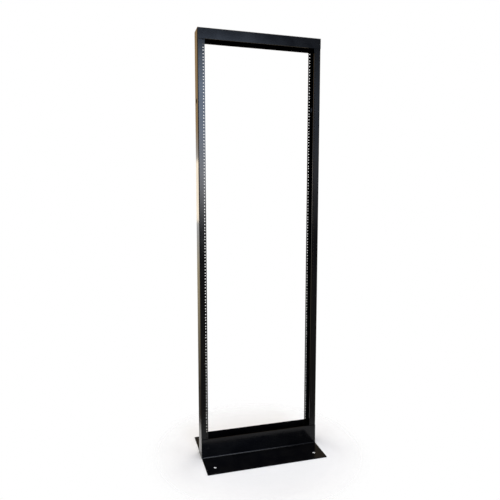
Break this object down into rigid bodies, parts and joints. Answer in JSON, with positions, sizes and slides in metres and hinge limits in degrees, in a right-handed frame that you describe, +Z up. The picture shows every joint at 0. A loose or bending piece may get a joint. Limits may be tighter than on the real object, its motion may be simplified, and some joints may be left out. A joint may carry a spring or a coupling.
{
  "type": "two post open frame rack",
  "caption": "Black welded open frame equipment rack: channel posts with columns of screw holes, base angles for floor anchors and a cap channel.",
  "frame": {"origin": "on the floor, at the middle of the rack's footprint", "axes": "+X to the right across the bay as seen from the front, +Y from the front flanges to the rear flanges, +Z up"},
  "size_m": [0.6222, 0.3874, 2.1106],
  "materials": {
    "black_paint": "semi-gloss black powder coat",
    "weld_paint": "weld beads under the same black coat"
  },
  "bodies": {
    "root": {"left_post": "black_paint", "right_post": "black_paint", "top_channel": "black_paint", "front_base_angle": "black_paint", "rear_base_angle": "black_paint", "left_front_base_weld": "weld_paint", "left_rear_base_weld": "weld_paint", "right_front_base_weld": "weld_paint", "right_rear_base_weld": "weld_paint", "left_front_top_weld": "weld_paint", "left_rear_top_weld": "weld_paint", "right_front_top_weld": "weld_paint", "right_rear_top_weld": "weld_paint"}
  },
  "joints": []
}
